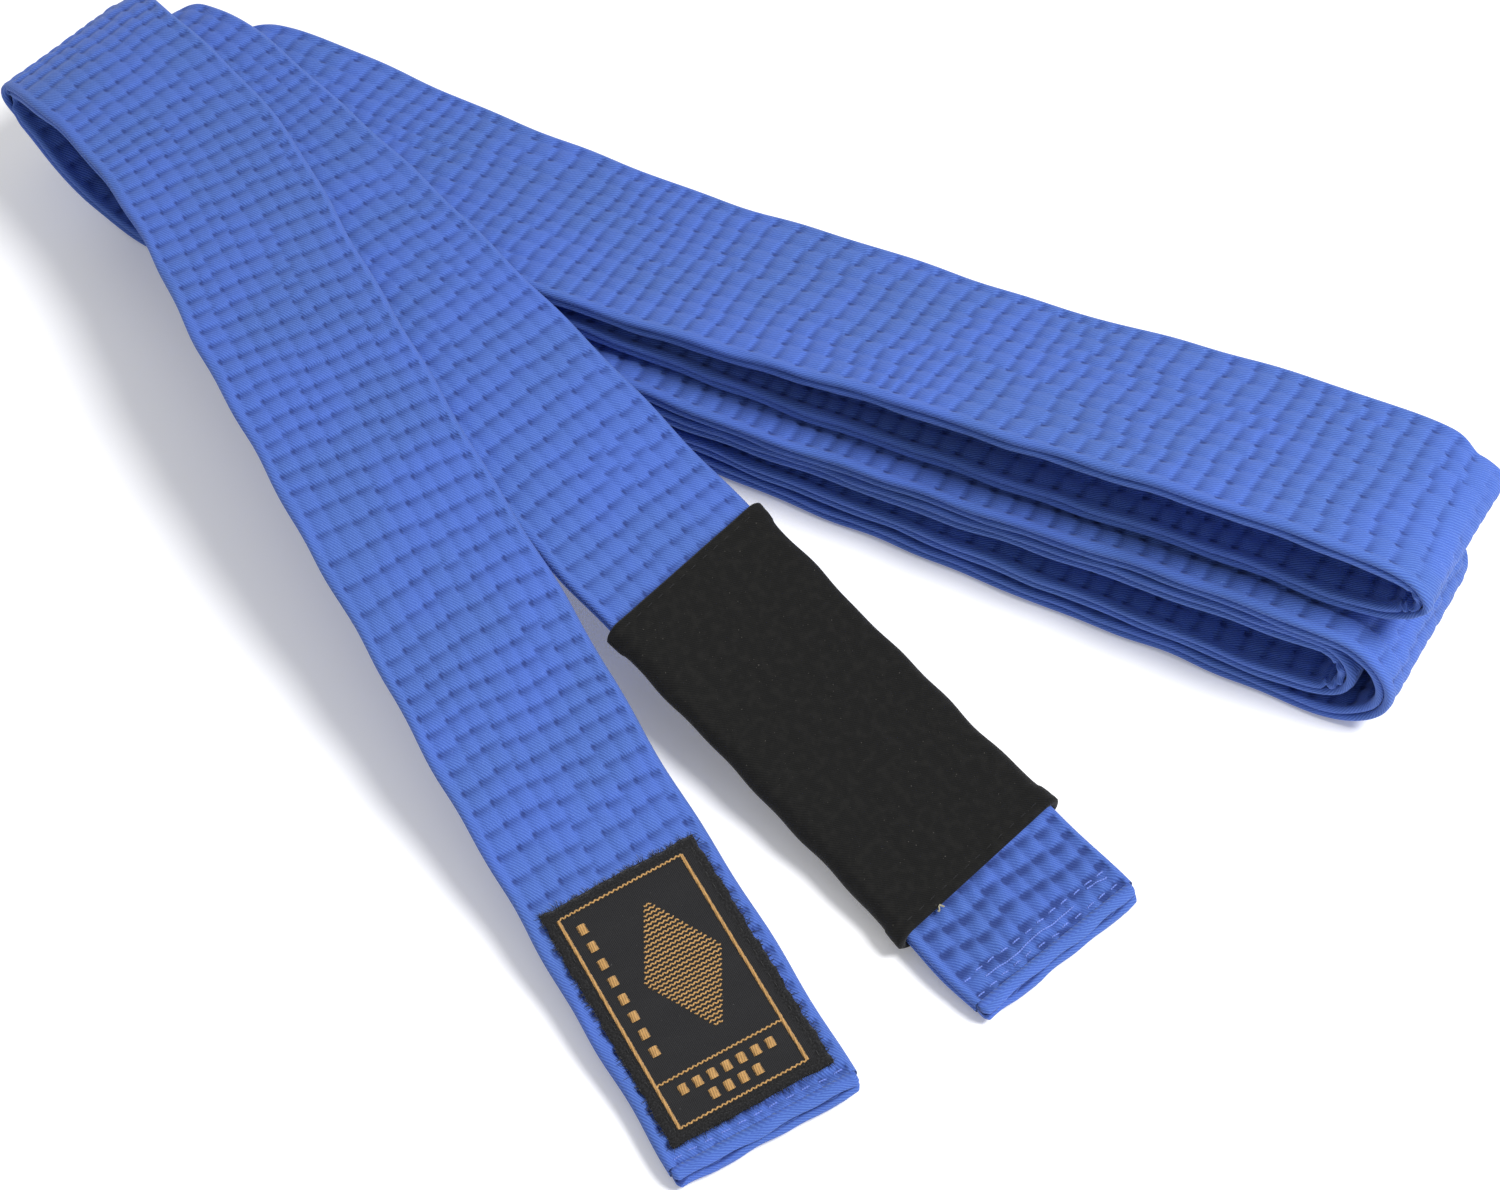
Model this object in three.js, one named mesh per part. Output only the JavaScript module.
// A quilted cotton martial arts belt, folded three times into a flat bundle, with both ends laid
// out in front of it. Millimetres, +Z up. The origin is on the underside of the bundle, under its
// middle: +X runs along the bundle to the folds on its right, +Y across the belt, away from the
// two free ends.
//
// The belt is one long ribbon. Its centre line is a curve through a few stations, and every piece
// of it is a flat cross-section swept between two places on that curve.
import * as THREE from "three";

// ---- driving dimensions -------------------------------------------------------------------
const BELT_WIDTH = 40;
const BELT_THICKNESS = 4;
const CLOTH = 0.8;            // wall of the twill cover
const CLEARANCE = 0.3;        // air kept between neighbouring pieces
const LIP_DEPTH = 1.8;        // how far the two turned-in edges of the cover reach inwards
const LIP_GAP = 0.6;          // groove between those two edges
const LINK_GAP = 0.3;         // cut between two links that hinge on each other

const LABEL_TAIL_YAW = 31.06; // degrees, the way the label end points, clockwise from +X
const SLEEVE_TAIL_YAW = 19.8;
const TAIL_ORIGIN_X = -110;   // both tails are measured from here, along their own direction

const LABEL = { start: 6.5, length: 55, width: 34, thickness: 0.9 };
const LABEL_THREAD = 0.5;
const LABEL_THREAD_INSET = 2.2;
const SLEEVE = { start: 24, length: 90, wall: 1.0, seamInset: 2 };
const HEM_THICKNESS = 1.6;
const THREAD = { width: 0.7, height: 0.4 };

// How far from its tip each end is stitched across. On the label end the stitches run between the
// tip and the label.
const LABEL_END_SEAM = 3;
const SLEEVE_END_SEAM = 5;

// ---- colours -------------------------------------------------------------------------------
const BLUE = { color: 0x4a66c4, roughness: 0.85, metalness: 0 };
const CANVAS = { color: 0xd8d2c4, roughness: 0.95, metalness: 0 };
const BLACK = { color: 0x1c1c1e, roughness: 0.9, metalness: 0 };
const LABEL_BLACK = { color: 0x18181a, roughness: 0.7, metalness: 0 };
const GOLD = { color: 0xb98f4e, roughness: 0.5, metalness: 0.2 };
const NAVY = { color: 0x2f4596, roughness: 0.8, metalness: 0 };

// ---- the centre line -----------------------------------------------------------------------
// A station is where the centre of the belt is, the yaw of the line across it, and its roll, both
// in degrees. A strand is the belt between two folds, given at the same six places along X.
const STRAND_X = [-120, -70, -25, 20, 65, 130];
const LEVEL = [0, 0, 0, 0, 0, 0];
const STRANDS = {
  ground: { z: [2, 2, 2, 2, 2, 2], y: [0, 0, 0, 0, 0, 0], roll: LEVEL },
  second: { z: [6.8, 6.9, 7, 7.2, 7.4, 7.8], y: [1, 1, 0, 0, 0, 0], roll: LEVEL },
  third: { z: [11.8, 12, 12.6, 14.5, 17, 22.3], y: [4, 3, 1, 0, 0, 0], roll: LEVEL },
  fourth: { z: [16.8, 17, 17.4, 19.1, 21.5, 26.8], y: [5, 3, 1, 0, 0, 0], roll: LEVEL },
  leafLower: { z: [22.3, 22, 22.2, 23.8, 26.4, 32.3], y: [10, 8.5, 7.5, 6.5, 6, 5.5], roll: LEVEL },
  leafUpper: { z: [27.6, 27.4, 28.6, 34, 38.4, 46], y: [13, 10.5, 8, 6.5, 5.5, 4.5], roll: [0, 0, 1, 3, 7, 6] },
};

const station = (x, y, z, yaw = 0, roll = 0) => ({ x, y, z, yaw, roll });

function strandStations(name) {
  const { z, y, roll } = STRANDS[name];
  return STRAND_X.map((x, i) => station(x, y[i], z[i], 0, roll[i]));
}

// The end of a strand carried straight on to another X.
function carriedTo(x, stations, end) {
  const from = stations.at(end);
  return { ...from, x };
}

// A half-ellipse from one strand end up to another, bulging to side +1 (right) or -1 (left).
function foldStations(lower, upper, bulge, side) {
  const STEPS = 6;
  const stations = [];
  for (let i = 1; i < STEPS; i += 1) {
    const angle = -Math.PI / 2 + (Math.PI * i) / STEPS;
    const share = (Math.sin(angle) + 1) / 2;
    const mix = (key) => lower[key] + (upper[key] - lower[key]) * share;
    const x = mix("x") + side * bulge * Math.cos(angle);
    stations.push(station(x, mix("y"), mix("z"), 0, mix("roll")));
  }
  return stations;
}

// A free end: heights and sideways offsets at distances along its own straight direction.
function tailStations(yaw, distances, heights, offsets) {
  const angle = THREE.MathUtils.degToRad(yaw);
  return distances.map((s, i) => station(
    TAIL_ORIGIN_X + Math.cos(angle) * s + Math.sin(angle) * offsets[i],
    -Math.sin(angle) * s + Math.cos(angle) * offsets[i],
    heights[i],
    yaw,
  ));
}

// Every station from the tip of the label end to the tip of the sleeve end, and the two stations
// between which the top leaf folds over.
function beltStations() {
  const ground = strandStations("ground");
  const second = strandStations("second");
  const third = strandStations("third");
  const fourth = strandStations("fourth");
  const leafLower = strandStations("leafLower");
  const leafUpper = strandStations("leafUpper");

  const labelTail = tailStations(
    LABEL_TAIL_YAW,
    [262, 225, 165, 131, 105, 80, 50, 15],
    [3, 5.8, 19.5, 28, 33, 37, 38.4, 38.2],
    [-19, -19.3, -20.7, -21.4, -21.6, -21.6, -21.3, -19.8],
  );
  const labelFold = [
    station(-127, -13.8, 38.2, 30),
    station(-143, -7, 38.4, 22),
    station(-161, -0.5, 37.2, 13),
    station(-176, 5.3, 31.5, 13),
    station(-179.5, 5.5, 27, 12),
    station(-174, 4.2, 20.5, 9),
    station(-165, 1.9, 12, 6),
    station(-157, 1, 5.5, 3),
    station(-143, 0, 2),
  ];
  const sleeveTail = tailStations(
    SLEEVE_TAIL_YAW,
    [0, 45, 80, 120, 160, 220, 240, 262],
    [33.4, 33.6, 32.3, 25.2, 16.5, 6.6, 4.7, 3.2],
    [-4.8, -5.8, -6.4, -6.4, -5.4, -4.7, -4.6, -4.6],
  );
  const sleeveFold = [
    station(-138, 2, 6.8),
    station(-153, 5, 11, 3),
    station(-163, 8.5, 20, 6),
    station(-164.5, 9.5, 27, 7),
    station(-152, 8.5, 32, 9),
    station(-135, 4.2, 33.2, 16),
  ];

  const outerRight = [carriedTo(152, ground, -1), carriedTo(152, fourth, -1)];
  const innerLeft = [carriedTo(-133, fourth, 0), carriedTo(-133, leafLower, 0)];
  const leafRight = [carriedTo(156, leafLower, -1), carriedTo(156, leafUpper, -1)];
  const outerLeft = [carriedTo(-136, third, 0), carriedTo(-136, leafUpper, 0)];
  const innerRight = [carriedTo(150, second, -1), carriedTo(150, third, -1)];

  const stations = [
    ...labelTail,
    ...labelFold,
    ...ground,
    outerRight[0],
    ...foldStations(outerRight[0], outerRight[1], 14, 1),
    outerRight[1],
    ...fourth.reverse(),
    innerLeft[0],
    ...foldStations(innerLeft[0], innerLeft[1], 5, -1),
    innerLeft[1],
    ...leafLower,
    leafRight[0],
    ...foldStations(leafRight[0], leafRight[1], 14, 1),
    leafRight[1],
    ...leafUpper.reverse(),
    outerLeft[1],
    ...foldStations(outerLeft[0], outerLeft[1], 11, -1).reverse(),
    outerLeft[0],
    ...third,
    innerRight[1],
    ...foldStations(innerRight[0], innerRight[1], 8, 1).reverse(),
    innerRight[0],
    ...second.reverse(),
    ...sleeveFold,
    ...sleeveTail,
  ];
  return { stations, leafFold: leafRight };
}

// The belt as a chain of flat facets: the curve through the stations, cut into knots that lie
// close together only where the belt turns. Every piece is swept along the same facets, so the
// clearances between pieces are exact.
class BeltPath {
  constructor(stations) {
    const PER_STATION = 16;
    const MAX_TURN = THREE.MathUtils.degToRad(10);
    const MAX_STEP = 45;
    const points = stations.map((s) => new THREE.Vector3(s.x, s.y, s.z));
    const turns = stations.map((s) => new THREE.Vector3(s.yaw, s.roll, 0));
    const count = (stations.length - 1) * PER_STATION;
    this.stations = stations;
    this.perStation = PER_STATION;
    this.centres = new THREE.CatmullRomCurve3(points).getPoints(count);
    this.turns = new THREE.CatmullRomCurve3(turns, false, "catmullrom").getPoints(count);
    this.lengths = [0];
    for (let i = 1; i <= count; i += 1) {
      this.lengths.push(this.lengths[i - 1] + this.centres[i].distanceTo(this.centres[i - 1]));
    }
    this.knots = [this.frame(0)];
    for (let i = 1; i <= count; i += 1) {
      const last = this.knots.at(-1);
      const here = this.frame(i);
      const turned = last.direction.angleTo(here.direction) + last.across.angleTo(here.across);
      if (i === count || turned > MAX_TURN || here.distance - last.distance > MAX_STEP) {
        this.knots.push(here);
      }
    }
  }

  frame(i) {
    const last = this.centres.length - 1;
    const yaw = THREE.MathUtils.degToRad(this.turns[i].x);
    const roll = THREE.MathUtils.degToRad(this.turns[i].y);
    const direction = this.centres[Math.min(i + 1, last)].clone();
    direction.sub(this.centres[Math.max(i - 1, 0)]).normalize();
    const across = new THREE.Vector3(
      Math.sin(yaw) * Math.cos(roll),
      Math.cos(yaw) * Math.cos(roll),
      -Math.sin(roll),
    );
    const normal = new THREE.Vector3().crossVectors(direction, across).normalize();
    return { distance: this.lengths[i], centre: this.centres[i], direction, across, normal };
  }

  get length() {
    return this.lengths.at(-1);
  }

  distanceOf(station) {
    return this.lengths[this.stations.indexOf(station) * this.perStation];
  }

  // The frame at a distance along the belt from the tip of the label end.
  at(distance) {
    const after = this.knots.findIndex((knot) => knot.distance >= distance);
    const i = after < 0 ? this.knots.length - 1 : Math.max(after, 1);
    const a = this.knots[i - 1];
    const b = this.knots[i];
    const share = (distance - a.distance) / (b.distance - a.distance);
    const between = (key) => a[key].clone().lerp(b[key], share);
    return { centre: between("centre"), across: between("across"), normal: between("normal") };
  }

  // How far along the belt its centre first lies left of x, looking from a distance one way.
  leftOf(x, from, way) {
    const STEP = 0.25;
    let distance = from;
    while (this.at(distance).centre.x > x) {
      distance += STEP * way;
    }
    return distance;
  }

  // The two ends of a piece and the knots between them.
  steps(from, to) {
    const NEAR = 0.4;
    const distances = this.knots.map((knot) => knot.distance);
    return [from, ...distances.filter((d) => d > from + NEAR && d < to - NEAR), to];
  }
}

const { stations, leafFold } = beltStations();
const belt = new BeltPath(stations);

// ---- solids --------------------------------------------------------------------------------
const shapeOf = (outline) => new THREE.Shape(outline.map(([x, y]) => new THREE.Vector2(x, y)));

// Moves each vertex to its place on the belt: place() gives how far across the belt it is, how far
// along it and how far out along its normal.
function layOnBelt(geometry, place) {
  const positions = geometry.attributes.position;
  const vertex = new THREE.Vector3();
  for (let i = 0; i < positions.count; i += 1) {
    const { across, along, out } = place(vertex.fromBufferAttribute(positions, i));
    const frame = belt.at(along);
    const point = frame.centre.clone();
    point.addScaledVector(frame.across, across);
    point.addScaledVector(frame.normal, out);
    positions.setXYZ(i, point.x, point.y, point.z);
  }
  geometry.computeVertexNormals();
  return geometry;
}

// A closed outline in the plane across the belt, swept along it. x in the outline runs across the
// belt and y out along its normal.
function sweep(outline, from, to, hole = null) {
  const steps = belt.steps(from, to);
  const shape = shapeOf(outline);
  if (hole) {
    shape.holes.push(shapeOf(hole));
  }
  const geometry = new THREE.ExtrudeGeometry(shape, {
    depth: steps.length - 1,
    steps: steps.length - 1,
    bevelEnabled: false,
  });
  return layOnBelt(geometry, ({ x, y, z }) => ({ across: x, along: steps[Math.round(z)], out: y }));
}

const HALF_WIDTH = BELT_WIDTH / 2;
const HALF_THICKNESS = BELT_THICKNESS / 2;
const EDGE_ROUND = 0.9;

// A flat rounded outline that stands a margin outside the belt.
function beltOutline(margin) {
  const w = HALF_WIDTH + margin;
  const t = HALF_THICKNESS + margin;
  return [
    [-w, -t / 2],
    [-w + EDGE_ROUND, -t],
    [w - EDGE_ROUND, -t],
    [w, -t / 2],
    [w, t / 2],
    [w - EDGE_ROUND, t],
    [-w + EDGE_ROUND, t],
    [-w, t / 2],
  ];
}

// One sheet of twill wrapped round the filling, its two long edges turned in along the near side.
function coverOutline() {
  const w = HALF_WIDTH;
  const t = HALF_THICKNESS;
  const inner = t - CLOTH;
  const lip = -w + LIP_DEPTH;
  const groove = LIP_GAP / 2;
  return [
    ...beltOutline(0),
    [-w + groove, groove],
    [lip, groove],
    [lip, inner],
    [w - CLOTH, inner],
    [w - CLOTH, -inner],
    [lip, -inner],
    [lip, -groove],
    [-w + groove, -groove],
  ];
}

// One of the two plies of filling, on the side of the normal or on the other.
function plyOutline(side) {
  const near = -HALF_WIDTH + LIP_DEPTH + CLEARANCE;
  const far = HALF_WIDTH - CLOTH - CLEARANCE;
  const low = (side * CLEARANCE) / 2;
  const high = side * (HALF_THICKNESS - CLOTH - CLEARANCE);
  return [
    [near, low],
    [far, low],
    [far, high],
    [near, high],
  ];
}

// ---- the assembly --------------------------------------------------------------------------
const part = new THREE.Group();

function addMesh(name, geometry, finish) {
  const mesh = new THREE.Mesh(geometry, new THREE.MeshStandardMaterial(finish));
  mesh.name = name;
  part.add(mesh);
}

// A length of belt: its cover and the two plies inside it.
function addBelt(name, from, to) {
  addMesh(`${name}_cover`, sweep(coverOutline(), from, to), BLUE);
  addMesh(`${name}_upper_ply`, sweep(plyOutline(1), from, to), CANVAS);
  addMesh(`${name}_lower_ply`, sweep(plyOutline(-1), from, to), CANVAS);
}

// A row of stitches drawn tight round the belt, as one loop of thread.
function addStitchLoop(name, at, margin, finish) {
  const inner = beltOutline(margin);
  const outer = beltOutline(margin + THREAD.height);
  addMesh(name, sweep(outer, at, at + THREAD.width, inner), finish);
}

// The turned-in cloth that closes an end of the belt.
function addEndHem(name, from, to) {
  addMesh(name, sweep(beltOutline(0), from, to), BLUE);
}

// The woven label lies on the side of the belt away from its normal.
function addLabel() {
  const half = LABEL.width / 2;
  const foot = HALF_THICKNESS + CLEARANCE;
  const top = foot + LABEL.thickness;
  const end = LABEL.start + LABEL.length;
  const outline = [
    [-half, -top],
    [half, -top],
    [half, -foot],
    [-half, -foot],
  ];
  addMesh("woven_label", sweep(outline, LABEL.start, end), LABEL_BLACK);
  addMesh("label_border_stitch", labelThread(top + CLEARANCE, half, end), GOLD);
}

// One thread stitched round the border of the label: a flat ring of four faces, with a corner
// wherever the belt bends under it.
function labelThread(height, labelHalf, labelEnd) {
  const half = labelHalf - LABEL_THREAD_INSET;
  const from = LABEL.start + LABEL_THREAD_INSET;
  const to = labelEnd - LABEL_THREAD_INSET;
  const loop = (inset, out) => {
    const w = half - inset;
    const steps = belt.steps(from + inset, to - inset);
    return [...steps.map((d) => [w, d, out]), ...steps.reverse().map((d) => [-w, d, out])];
  };
  const top = height + THREAD.height;
  const loops = [loop(0, height), loop(0, top), loop(LABEL_THREAD, top), loop(LABEL_THREAD, height)];
  const corners = loops[0].length;
  const index = [];
  loops.forEach((_, side) => {
    const here = side * corners;
    const next = ((side + 1) % loops.length) * corners;
    for (let i = 0; i < corners; i += 1) {
      const j = (i + 1) % corners;
      index.push(here + i, here + j, next + j, here + i, next + j, next + i);
    }
  });
  const geometry = new THREE.BufferGeometry();
  geometry.setAttribute("position", new THREE.Float32BufferAttribute(loops.flat(2), 3));
  geometry.setIndex(index);
  return layOnBelt(geometry, ({ x, y, z }) => ({ across: x, along: y, out: -z }));
}

// The black rank sleeve: a tube of cloth drawn over the belt.
function addRankSleeve(from, to) {
  const inside = beltOutline(CLEARANCE);
  const outside = beltOutline(CLEARANCE + SLEEVE.wall);
  const threadMargin = CLEARANCE + SLEEVE.wall + CLEARANCE;
  addMesh("rank_sleeve", sweep(outside, from, to, inside), BLACK);
  addStitchLoop("rank_sleeve_upper_stitch", from + SLEEVE.seamInset, threadMargin, BLACK);
  addStitchLoop("rank_sleeve_lower_stitch", to - SLEEVE.seamInset - THREAD.width, threadMargin, BLACK);
}

// Distances along the belt where one link hinges on the next.
const LABEL_TAIL_CUTS = [134, 100, 66];
const SLEEVE_TAIL_CUTS = [132, 119, 22.8].map((fromTip) => belt.length - fromTip);
const LEAF_CUTS_X = [-8, 40, 90];
const leafLowerCuts = LEAF_CUTS_X.map((x) => belt.leftOf(x, belt.distanceOf(leafFold[0]), -1));
const leafUpperCuts = LEAF_CUTS_X.map((x) => belt.leftOf(x, belt.distanceOf(leafFold[1]), 1));
const HALF_GAP = LINK_GAP / 2;

function addBundle() {
  addBelt("bundle_label_half", LABEL_TAIL_CUTS[0] + HALF_GAP, leafLowerCuts[0] - HALF_GAP);
  addBelt("bundle_sleeve_half", leafUpperCuts[0] + HALF_GAP, SLEEVE_TAIL_CUTS[0] - HALF_GAP);
}

function addTopLeaf() {
  for (const link of [1, 2]) {
    addBelt(`leaf_lower_${link}`, leafLowerCuts[link - 1] + HALF_GAP, leafLowerCuts[link] - HALF_GAP);
    addBelt(`leaf_upper_${link}`, leafUpperCuts[link] + HALF_GAP, leafUpperCuts[link - 1] - HALF_GAP);
  }
  addBelt("leaf_fold", leafLowerCuts[2] + HALF_GAP, leafUpperCuts[2] - HALF_GAP);
}

function addLabelTail() {
  addBelt("label_tail_1", LABEL_TAIL_CUTS[1] + HALF_GAP, LABEL_TAIL_CUTS[0] - HALF_GAP);
  addBelt("label_tail_2", LABEL_TAIL_CUTS[2] + HALF_GAP, LABEL_TAIL_CUTS[1] - HALF_GAP);
  addBelt("label_end", HEM_THICKNESS + CLEARANCE, LABEL_TAIL_CUTS[2] - HALF_GAP);
  addEndHem("label_end_hem", 0, HEM_THICKNESS);
  addStitchLoop("label_end_stitch", LABEL_END_SEAM, CLEARANCE, NAVY);
  addLabel();
}

function addSleeveTail() {
  const tip = belt.length;
  const hemStart = tip - HEM_THICKNESS;
  addBelt("sleeve_tail_1", SLEEVE_TAIL_CUTS[0] + HALF_GAP, SLEEVE_TAIL_CUTS[1] - HALF_GAP);
  addBelt("sleeve_tail_2", SLEEVE_TAIL_CUTS[1] + HALF_GAP, SLEEVE_TAIL_CUTS[2] - HALF_GAP);
  addBelt("sleeve_end", SLEEVE_TAIL_CUTS[2] + HALF_GAP, hemStart - CLEARANCE);
  addEndHem("sleeve_end_hem", hemStart, tip);
  addStitchLoop("sleeve_end_stitch", tip - SLEEVE_END_SEAM, CLEARANCE, NAVY);
  addRankSleeve(tip - SLEEVE.start - SLEEVE.length, tip - SLEEVE.start);
}

addBundle();
addTopLeaf();
addLabelTail();
addSleeveTail();

export default part;
